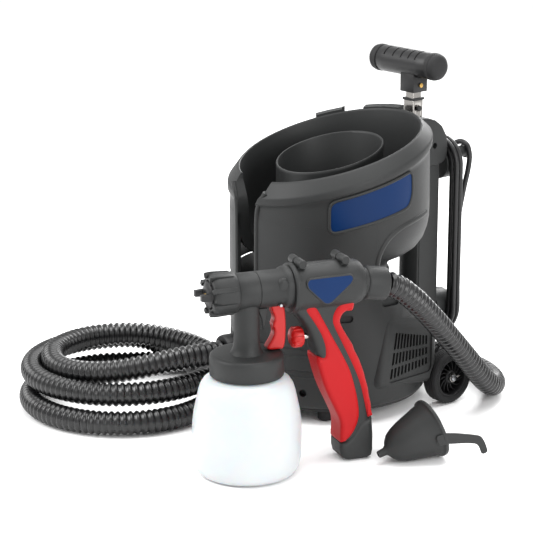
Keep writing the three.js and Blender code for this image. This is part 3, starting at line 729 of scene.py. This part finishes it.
# ------------------------------------------------------------------ base, pod and grille
BASE_PROFILE = [
    (0, 17), (104, 17), (108.6, 18.2), (110.6, 21), (111, 25), (111, 53.4), (109.6, 54.2),
    (109.6, 60.6), (111, 61.4), (111, 77.4), (109.6, 78.2), (109.6, 85.6), (111, 86.4),
    (111, 143.5), (110, 147.6), (106.5, 149.8), (66, 150), (0, 150),
]
POD_OUTLINE = [(-31, 38), (58, 30), (63, 38), (63, 100), (57, 108), (-6, 118), (-15, 112)]
GRILLE_OUTLINE = [(-12, 42.5), (50, 43.5), (53.5, 48), (53.5, 91), (49, 96.5), (-3, 105)]
GRILLE_TOP_Y, GRILLE_TOP_Z = -0.4, 98.6
OUTLET_Z = 71.5
XYZ_TO_YZX = Matrix(((0, 0, 1, 0), (1, 0, 0, 0), (0, 1, 0, 0), (0, 0, 0, 1)))


def falling(bm):
    """The base's top falls away towards the column."""
    for v in bm.verts:
        if v.co.z > 100:
            v.co.z -= 0.33 * max(v.co.y, 0)
    return bm


def front_groove(angle, r, z):
    """Keeps a groove in the wall only round the front of the base."""
    turn = abs(math.degrees(angle) - 270)
    return r if turn < 42 or r > 110 or z < 50 or z > 90 else 111


def facing_side(outline, x0, x1, rounding=0.0):
    """An outline of (Y, Z) points given thickness along X."""
    if rounding:
        middle = Matrix.Translation(((x0 + x1) / 2, 0, 0))
        bm = slab(outline, (x1 - x0) / 2, rounding, smooth=False)
        return moved(bm, middle @ Matrix.Rotation(math.radians(90), 4, "Z"))
    return moved(prism(outline, x0, x1), XYZ_TO_YZX)


def capsule(length, width, depth):
    """A round-ended slot cutter, long along X, cutting along Z."""
    half = length / 2
    outline = []
    for start, middle in ((-90, half - width / 2), (90, width / 2 - half)):
        for k in range(9):
            a = math.radians(start + 22.5 * k)
            outline.append((middle + width / 2 * math.cos(a), width / 2 * math.sin(a)))
    return prism(outline, -depth, depth)


def plug(radius, low, high, where, segments=64):
    """A round cutter along the matrix's Z, from one height to another."""
    return moved(lathe([(0, low), (radius, low), (radius, high), (0, high)], segments), where)


def base_cutters():
    """The wheel arches, the grille's and the switch's recesses, the outlet and the small dents."""
    axle = AXLE @ FACING_X
    outlet = Matrix.Translation((0, 0, OUTLET_Z)) @ TO_OUTLET @ FACING_X
    dimple = Matrix.Rotation(math.radians(-56), 4, "Z") @ Matrix.Translation((0, 0, 36)) @ FACING_X
    cutters = [
        plug(33.5, 95.5, 130, axle),
        plug(33.5, -130, -95.5, axle),
        facing_side(fillet(GRILLE_OUTLINE, 6, closed=True), 103, 120),
        block(-120, -103, 11.5, 36.5, 66, 82),
        plug(16.4, 95, 125, outlet, 48),
    ]
    for degrees, z, length in ((-33.5, 121, 22), (-4, 134.5, 24), (-146.5, 121, 22)):
        turn = Matrix.Rotation(math.radians(degrees), 4, "Z")
        place = turn @ Matrix.Translation((111, 0, z)) @ XYZ_TO_YZX
        cutters.append(moved(capsule(length, 8.5, 4), place))
    return cutters + [plug(4.2, 104, 120, dimple, 24)]


def base():
    body = falling(lathe(BASE_PROFILE, 160, shape=front_groove))
    neck = lathe([(0, 100), (68, 100), (68, 149.9), (0, 149.9)], 96)
    pod = facing_side(fillet(POD_OUTLINE, 12, closed=True), -113, 113, 8)
    shape = combined(combined(body, neck, "UNION"), pod, "UNION")
    for cutter in base_cutters():
        shape = combined(shape, cutter)
    piece(
        "base_shell", shape, DRUM, "caddy", "charcoal_shell", ("base_housing",),
        bevel=0.9, sharp=42,
    )


def grille_slot(f, high, low):
    """A cutter for one leaning slot; f is 0 at the front of the grille and 1 at its back."""
    foot = GRILLE_TOP_Y + 52 * f
    lean_by = 0.157 - 0.2 * f
    y_high = foot - (GRILLE_TOP_Z - high) * lean_by
    y_low = foot - (GRILLE_TOP_Z - low) * lean_by
    half = 1.4
    corners = [
        (y_low - half, low), (y_low + half, low), (y_high + half, high), (y_high - half, high),
    ]
    return facing_side(fillet(corners, 1.3, closed=True, steps=3), 100, 118)


def grille():
    """Three rows of slots; the rows close up towards the back."""
    plate = facing_side(fillet(GRILLE_OUTLINE, 5.5, closed=True), 108.6, 111.4)
    slots = []
    for i in range(11):
        f = 0.03 + 0.086 * i
        slots.append(grille_slot(f, GRILLE_TOP_Z - 13.8 * f, 79.3 - 3.7 * f))
        slots.append(grille_slot(f, 75.7 - 3.7 * f, 61.5 + 3 * f))
        slots.append(grille_slot(f, 57.9 + 3 * f, 45.9 + 7.6 * f))
    piece(
        "grille_plate", combined(plate, merged(*slots)), DRUM, "caddy", "charcoal_shell",
        ("vent_grille",), bevel=0.3, sharp=42,
    )


base()
grille()


# ------------------------------------------------------------------ column
def column():
    """The chamfered shaft, the rounded head with its dark hole, and the lug that joins the base."""
    outline = [
        (-16, 156), (-16, 126.6), (-14.8, 125.4), (-15.2, 124.2), (-6, 116), (6, 116),
        (15.2, 124.2), (14.8, 125.4), (16, 126.6), (16, 156),
    ]
    shaft = prism(outline, 17, 256)
    head_side = [
        (114, 250), (124, 249.4), (150, 248.4), (158, 249.6), (163.5, 254), (165.8, 262),
        (166, 271), (163.4, 283), (156.5, 294), (146, 301.6), (134, 305.6), (122, 306.8),
        (114, 307),
    ]
    head = facing_side(head_side, -20, 20, 3.4)
    hole = plug(3.3, 14, 30, Matrix.Translation((0, 144, 272)) @ FACING_X, 24)
    lug = block(-16, 16, 108, 126, 24, 70)
    piece(
        "column_shell", merged(shaft, combined(head, hole), lug), DRUM, "caddy",
        "charcoal_shell", ("column_housing",), bevel=1.1, sharp=42,
    )


column()


# ------------------------------------------------------------------ wheels
def spoke(turn):
    """One thin curved spoke, swept back as it nears the rim."""
    points = []
    for step in range(7):
        r = 6.4 + 13.6 * step / 6
        a = turn + 0.5 * (step / 6) ** 1.4
        points.append((r * math.cos(a), r * math.sin(a)))
    half = 0.55
    dx, dy = half * math.sin(turn), half * math.cos(turn)
    strip = [(x - dx, y + dy) for x, y in points]
    strip += [(x + dx, y - dy) for x, y in reversed(points)]
    return prism(strip, 104, 112.6)


def spoked_wheel():
    """Hub, back disc, rim and spokes, about the wheel's axle."""
    hub = [(4.2, 100), (7.4, 100), (7.4, 113.2), (6.2, 114.6), (4.2, 114.6)]
    disc = [(6, 101), (20, 101), (20, 104.5), (6, 104.5)]
    rim = [(19.2, 100), (21.7, 100), (21.7, 116), (20.8, 116.6), (19.8, 116), (19.2, 112)]
    parts = [
        lathe(hub, 40, closed=True),
        lathe(disc, 64, closed=True),
        lathe(rim, 72, closed=True),
    ]
    spokes = 14
    return merged(*parts, *(spoke(2 * math.pi * k / spokes) for k in range(spokes)))


def tyre_ring():
    """The tyre, with four shallow grooves round its tread."""
    profile = [(22, 98.4), (25.6, 98), (28.4, 98.8), (29.7, 100.6)]
    for z in (103, 106, 109, 112):
        profile += [(30, z - 0.7), (30, z + 0.2), (29.2, z + 0.6), (29.2, z + 1.2), (30, z + 1.6)]
    profile += [(29.7, 115.4), (28.4, 117), (25.6, 117.5), (24.4, 116.6), (22, 116.2)]
    return lathe(profile, 96, closed=True)


def wheel(side, turn):
    hub = DRUM @ AXLE @ Matrix.Rotation(math.radians(turn), 4, "Y")
    body = "wheel_" + side
    piece("spokes_" + side, spoked_wheel(), hub, body, "black_plastic", (body,), bevel=0.25)
    piece("tread_" + side, tyre_ring(), hub, body, "tyre_rubber", ("tyre_" + side,), sharp=30)


wheel("right", 90)
wheel("left", -90)


# ------------------------------------------------------------------ hand grip
def hand_grip():
    """The T grip: short grooves across its top, and a soft domed cap on each end."""
    across = DRUM @ Matrix.Translation((0, 127.5, 367)) @ FACING_X
    profile = [(0, -49), (14.6, -49), (15.1, -48)]
    for z in (-36, -22, -9, 3, 14):
        profile += [(15.1, z - 1.1), (13.9, z - 0.7), (13.9, z + 0.7), (15.1, z + 1.1)]
    profile += [(15.1, 29), (14.6, 30), (0, 30)]

    def on_top(angle, r, z):
        return r if r > 14.5 or r < 13.8 or math.cos(angle) < -0.5 else 15.1

    piece(
        "grip_barrel", lathe(profile, 96, shape=on_top), across, "handle_inner", "black_plastic",
        ("handle_grip",), sharp=40,
    )
    dome = [
        (0, 0), (14.8, 0), (15.5, 0.7), (15.5, 5.4), (14.9, 6), (15.1, 6.6), (14.3, 9.6),
        (12.2, 12), (8.6, 13.6), (4, 14.2), (0, 14.3),
    ]
    for side, start, degrees in (("left", -49.7, -90), ("right", 29.7, 90)):
        end = Matrix.Translation((start, 127.5, 367))
        where = DRUM @ end @ Matrix.Rotation(math.radians(degrees), 4, "Y")
        piece(
            "grip_dome_" + side, lathe(dome, 64), where, "handle_inner", "soft_rubber",
            ("grip_cap_" + side,), sharp=40,
        )


hand_grip()


# ------------------------------------------------------------------ gun handle
# Side views of the gun's handle and its two soft grips as (back along the barrel, height).
HANDLE = [
    (47, 175), (48.5, 165.5), (57, 155), (64, 142), (69.5, 128), (71, 121.5), (73, 117), (77, 102),
    (85, 79), (96, 55), (100.6, 44), (101.6, 30), (101.4, 20), (133, 20), (133, 38), (131.5, 52),
    (128.5, 69), (124.5, 88), (119, 105.5), (111.5, 120.5), (102.5, 136), (96, 149), (97, 158),
    (102, 164.5), (110, 168), (118, 175), (110, 186), (60, 186),
]
FRONT_GRIP = [
    (60, 185), (58, 176), (58, 168), (66.4, 155), (74, 142), (78.5, 130), (79.6, 121),
    (78.4, 117), (71.6, 116.6), (74.4, 103), (82, 80), (93.2, 56), (98.2, 43.4), (98.8, 30),
    (98.6, 21.6), (103, 21.4), (109.5, 25.5), (115, 33), (119, 43), (120, 54), (117, 73),
    (110, 98), (101, 117), (90, 137), (77, 161), (64.4, 183.4),
]
REAR_GRIP = [
    (107, 187.4), (111.4, 188), (114.4, 184.6), (113.8, 175.4), (111, 163.4), (103.6, 162.6),
    (98.8, 158.4), (97.6, 151), (105, 137), (111.4, 126.6), (113.4, 120.8), (118.4, 111),
    (120.8, 105.2), (124.6, 95), (126.4, 88), (129.6, 77), (130.8, 69), (133.2, 59), (133.6, 52),
    (134.6, 47.6), (129.4, 45), (127.4, 50), (124, 63), (119, 82), (111, 102), (99, 127),
    (89.4, 147), (87, 155), (88.4, 163), (94, 171.4), (101, 176.6),
]


def smoothed(bm, voxel, rounds):
    """The joined shapes as one skin with soft fillets where they meet."""
    obj = temporary(bm)
    skin = obj.modifiers.new("skin", "REMESH")
    skin.mode = "VOXEL"
    skin.voxel_size = voxel
    soften = obj.modifiers.new("soften", "SMOOTH")
    soften.factor = 0.6
    soften.iterations = rounds
    return evaluated(obj)


def gun_head():
    """The round housing along the top of the gun."""
    profile = [
        (0, 46), (25, 46), (26, 47.4), (26, 49.6), (24.8, 51.6), (24.6, 56), (24.6, 104),
        (24.2, 112), (23, 118), (21, 122.5), (18, 125), (0, 125.2),
    ]
    return moved(lathe(profile, 72), HEAD_AXIS @ FACING_X)


def flattened(bm, limit):
    """Flattens the sides of the gun's head a little."""
    for v in bm.verts:
        if abs(v.co.y) > limit:
            v.co.y = math.copysign(limit + (abs(v.co.y) - limit) * 0.25, v.co.y)
    return bm


def top_lugs():
    """The two ribbed cross bosses on top of the gun."""
    rod = [
        (0, -15), (4, -15), (4.6, -14.2), (4.6, -2.2), (3.9, -1.7), (3.9, 1.7), (4.6, 2.2),
        (4.6, 14.2), (4, 15), (0, 15),
    ]
    lugs = []
    for u in (55, 102):
        lugs.append(moved(lathe(rod, 32), Matrix.Translation((u, 0, 217)) @ FACING_Y))
        lugs.append(block(u - 3.4, u + 3.4, -11.5, 11.5, 207, 217))
    return lugs


def gun_shell():
    """The head and the handle in one skin, with a collar, two bosses and the red grips on it."""
    body = merged(
        flattened(gun_head(), 22.4),
        slab(HANDLE, 14.6, 7, steps=4),
        moved(lathe([(0, -4), (15, -4), (13, 9), (0, 9)], 40), Matrix.Translation((86, 0, 176))),
    )
    skin = smoothed(body, 1.1, 7)
    ring = [(20, 44.8), (25.2, 44.8), (26, 45.8), (26, 48), (20, 48)]
    collar = moved(lathe(ring, 72, closed=True), HEAD_AXIS @ FACING_X)
    piece(
        "gun_handle_shell", merged(skin, collar, *top_lugs()), GUN, "caddy", "charcoal_shell",
        ("gun_shell_left", "gun_shell_right"), sharp=50,
    )
    for side, outline in (("front", FRONT_GRIP), ("rear", REAR_GRIP)):
        bm = slab(outline, 16.2, 5.2)
        piece("overmould_" + side, bm, GUN, "caddy", "red_overmould", ("grip_" + side,), sharp=50)


BADGE = [(56, 200), (58.5, 204), (104, 204.4), (107, 200.4), (104.6, 195.4), (83, 177.4),
         (78.6, 176), (75, 177.4), (57.4, 194.6)]


def badge():
    face = fillet(BADGE, 5, closed=True, steps=5)
    plate = moved(slab(face, 0.8, 0.3, smooth=False), Matrix.Translation((0, -23.4, 0)))
    piece("badge_plate", plate, GUN, "caddy", "blue_label", ("badge",), sharp=40)
    ring_points = [Vector((u, -23.3, w)) for u, w in face]
    frame_bm = tube(ring_points + [ring_points[0]], 1.1, 10, caps=False)
    piece("badge_frame", frame_bm, GUN, "caddy", "charcoal_shell", sharp=60)


def base_cap():
    """The black foot of the handle, which runs up behind the red grips."""
    side = [
        (98.6, 20.6), (98.8, 12), (100.6, 5), (105, 1.4), (111, 0.2), (130, 0.2), (134.6, 2.6),
        (136, 9), (136, 26), (134.6, 44.6), (129, 44.6), (120, 41), (112, 29), (105, 21.6),
    ]
    bm = slab(side, 15.9, 5.6, smooth=False)
    piece("base_cap", bm, GUN, "caddy", "charcoal_shell", ("handle_end_cap",), sharp=45)


def hose_cuff():
    """The ribless cuff that holds the hose, and the short neck that joins it to the gun."""
    cuff = [
        (0, 0), (16.6, 0), (17.4, 1), (17.6, 2.4), (17.6, 22), (17.2, 23.6), (16, 24.5),
        (12, 24.5), (12, 20), (0, 20),
    ]
    neck = [(0, -6.5), (16.2, -6.5), (16.2, 0.4), (0, 0.4)]
    tilt = Matrix.Translation((128.3, 0, 187.3)) @ Matrix.Rotation(math.radians(98), 4, "Y")
    where = GUN @ tilt
    piece(
        "gun_cuff", lathe(cuff, 72), where, "caddy", "charcoal_shell", ("hose_cuff_gun",), sharp=40
    )
    piece("cuff_neck", lathe(neck, 48), where, "caddy", "charcoal_shell", sharp=40)


def adjuster_knob():
    profile = [
        (0, 46.6), (4, 46.9), (7.4, 47.8), (9.4, 49.2), (10.3, 50.4), (10.3, 58), (9.6, 59.6),
        (0, 59.8),
    ]

    def ribbed(angle, r, z):
        plain = r < 9 or z < 49 or z > 59.4
        return r if plain else r + (0.55 if math.cos(14 * angle) > 0 else -0.33)

    where = GUN @ Matrix.Translation((0, 0, 137.3)) @ FACING_X
    bm = lathe(profile, 168, shape=ribbed)
    piece("adjuster_knob", bm, where, "flow_knob", "red_plastic", ("flow_knob",), sharp=50)


gun_shell()
badge()
base_cap()
hose_cuff()
adjuster_knob()


# ------------------------------------------------------------------ spray head
def spray_head():
    """The barrel with its seam, the tube down to the cup, the lid, two side bumps and a web."""
    barrel = [
        (7, -26), (15.8, -26), (15.8, -13.2), (18.4, -13), (19, -12.2), (19, 8.4), (18.3, 8.9),
        (18.3, 9.5), (19, 10), (19, 35.4), (20.6, 37), (21.4, 39), (21.4, 44.4), (7, 44.8),
    ]
    down = [
        (0, 122), (20, 122), (17.4, 127), (15.4, 130), (14, 134), (13.2, 140), (13, 152),
        (13, 186), (0, 186),
    ]
    lid = [
        (35.2, 104.6), (37.2, 104.6), (38, 105.6), (38, 122.6), (37.4, 125), (35.6, 126.6),
        (33, 127), (0, 127), (0, 121.2), (35.2, 121.2),
    ]
    bump = [(27, 196), (29, 204), (34, 206), (39, 203), (41, 197), (38, 193), (31, 192)]
    web = [(12, 172), (16, 160), (17, 150), (20, 160), (22, 172)]
    body = merged(
        moved(lathe(barrel, 80, closed=True), BARREL_AXIS @ FACING_X),
        lathe(down, 64),
        lathe(lid, 96),
        slab(web, 2.2, 0.8, smooth=False),
        slab(bump, 19.6, 4),
    )
    piece("head_moulding", body, GUN, "spray_head", "charcoal_shell", ("spray_head",), sharp=45)


def union_nut():
    """A sleeve with long thin fins, open at the front for the air cap."""
    ring = [
        (16.7, -13.4), (20, -13.4), (21, -14.6), (21.4, -17), (21.4, -33), (20.6, -37),
        (19.6, -39), (15, -39.6), (14.6, -38), (17, -37.4), (17, -26), (16.7, -25),
    ]
    fin = [
        (-13.6, 19.8), (-18, 22.4), (-36, 23.2), (-41.6, 22.6), (-42.4, 20.6), (-42, 17),
        (-38, 16.8), (-37, 19.6),
    ]
    parts = [moved(lathe(ring, 96, closed=True), FACING_X)]
    fins = 8
    for k in range(fins):
        turn = Matrix.Rotation(2 * math.pi * (k + 0.5) / fins, 4, "X")
        parts.append(moved(slab(fin, 2.3, 0.8, smooth=False), turn))
    where = GUN @ BARREL_AXIS
    bm = merged(*parts)
    piece("nut_ring", bm, where, "union_nut", "charcoal_shell", ("union_nut",), sharp=45)


def trigger():
    outline = [
        (24.6, 174), (27, 178), (35, 178), (38.8, 173), (40.4, 160), (40.6, 146), (40, 136),
        (37.6, 128.8), (33, 128.2), (24, 128.4), (20.6, 130.4), (22.6, 134.4), (25.6, 139),
        (27.8, 144), (28.2, 148.4), (27, 152.4), (27, 155.6), (28.4, 159.6), (28.2, 163.6),
        (26.4, 168), (25.6, 171),
    ]
    bm = slab(outline, 6.5, 2.6)
    piece("trigger_blade", bm, GUN, "trigger", "red_plastic", ("trigger",), sharp=45)


def cup():
    profile = [
        (0, 2.2), (30, 2.2), (38, 0.2), (44, 0), (48.4, 1.2), (51.6, 4), (53.8, 8.6), (55.2, 16),
        (56, 27), (56.3, 42), (55.8, 54), (54.2, 66), (51.8, 77.6), (49.4, 88), (47.6, 93.6),
        (44.6, 98.4), (40.6, 101.6), (36, 103.6), (34, 104.4), (34, 117.8), (31.8, 117.8),
        (31.8, 103), (38.6, 100.4), (42.8, 97.2), (45.8, 92.4), (49.6, 77), (53.6, 54),
        (53.9, 28), (52.6, 13), (48.8, 5.6), (43, 4.4), (0, 4.2),
    ]
    piece("paint_pot", lathe(profile, 128), GUN, "paint_cup", "milky_cup", ("paint_cup",), sharp=60)


spray_head()
union_nut()
trigger()
cup()


# ------------------------------------------------------------------ viscosity cup
def viscosity_cup():
    shell = lathe(
        [
            (1.6, 0), (3.2, 0), (3.5, 1), (3.9, 7), (5.4, 9.4), (9.6, 12), (13.8, 16), (17.4, 22.8),
            (20, 30.6), (23.2, 43), (26, 54.6), (27.4, 57), (28.6, 57.6), (28.9, 59), (28.6, 60.6),
            (27.2, 61), (26, 60), (24.8, 55), (21.4, 43), (18.2, 31.6), (15.6, 24), (12, 18),
            (7.4, 13.4), (1.8, 9),
        ],
        96, closed=True,
    )
    side = [(-5, 50), (5, 50), (8, 60), (16, 78), (21.4, 87.4), (26, 89.6), (35, 90), (35, 97),
            (24, 96.6), (16, 94.4), (11, 87), (2, 72), (-3.6, 61)]
    handle = facing_side(fillet(side, 3, closed=True, steps=3), 25.6, 28.2, 1.0)
    lay = (
        DRUM
        @ Matrix.Translation((202.4, -110, 10.25))
        @ Matrix.Rotation(math.radians(74), 4, "Z")
        @ Matrix.Rotation(math.radians(72), 4, "Y")
        @ Matrix.Rotation(math.radians(-90), 4, "Z")
        @ Matrix.Scale(1.1, 4)
    )
    piece(
        "funnel_cup", merged(shell, handle), lay, "viscosity_cup", "charcoal_shell",
        ("viscosity_cup",), sharp=45,
    )


viscosity_cup()


# ------------------------------------------------------------------ carried-over CAD nodes
def smooth_group():
    """Smooth shading with sharp edges where faces meet at more than 35 degrees."""
    group = bpy.data.node_groups.new("smooth_by_angle", "GeometryNodeTree")
    group.interface.new_socket("Geometry", in_out="INPUT", socket_type="NodeSocketGeometry")
    group.interface.new_socket("Geometry", in_out="OUTPUT", socket_type="NodeSocketGeometry")
    new, link = group.nodes.new, group.links.new
    start, end = new("NodeGroupInput"), new("NodeGroupOutput")
    faces, edges = new("GeometryNodeSetShadeSmooth"), new("GeometryNodeSetShadeSmooth")
    faces.domain, edges.domain = "FACE", "EDGE"
    angle, less = new("GeometryNodeInputMeshEdgeAngle"), new("FunctionNodeCompare")
    less.operation = "LESS_THAN"
    less.inputs[1].default_value = math.radians(35)
    link(start.outputs[0], faces.inputs["Geometry"])
    link(faces.outputs[0], edges.inputs["Geometry"])
    link(angle.outputs["Unsigned Angle"], less.inputs[0])
    link(less.outputs[0], edges.inputs["Shade Smooth"])
    link(edges.outputs[0], end.inputs[0])
    return group


def dress_cad_nodes():
    """The CAD nodes that stay in sight get eased edges, smooth faces and their slot's material."""
    slots = {part["node"]: part["material_slot"] for part in frame["record"]["subparts"]}
    group = smooth_group()
    for name, obj in frame["nodes"].items():
        for slot in obj.material_slots:
            slot.link = "OBJECT"
            slot.material = MATERIALS[slots[name]]
        weld = obj.modifiers.new("weld", "WELD")
        weld.merge_threshold = 0.00001
        rounding = obj.modifiers.new("rounding", "BEVEL")
        size = min(obj.dimensions)
        rounding.width = min(0.0007, size * 0.06)
        rounding.segments = 2
        rounding.limit_method = "ANGLE"
        rounding.angle_limit = math.radians(35)
        smooth = obj.modifiers.new("smooth", "NODES")
        smooth.node_group = group


dress_cad_nodes()
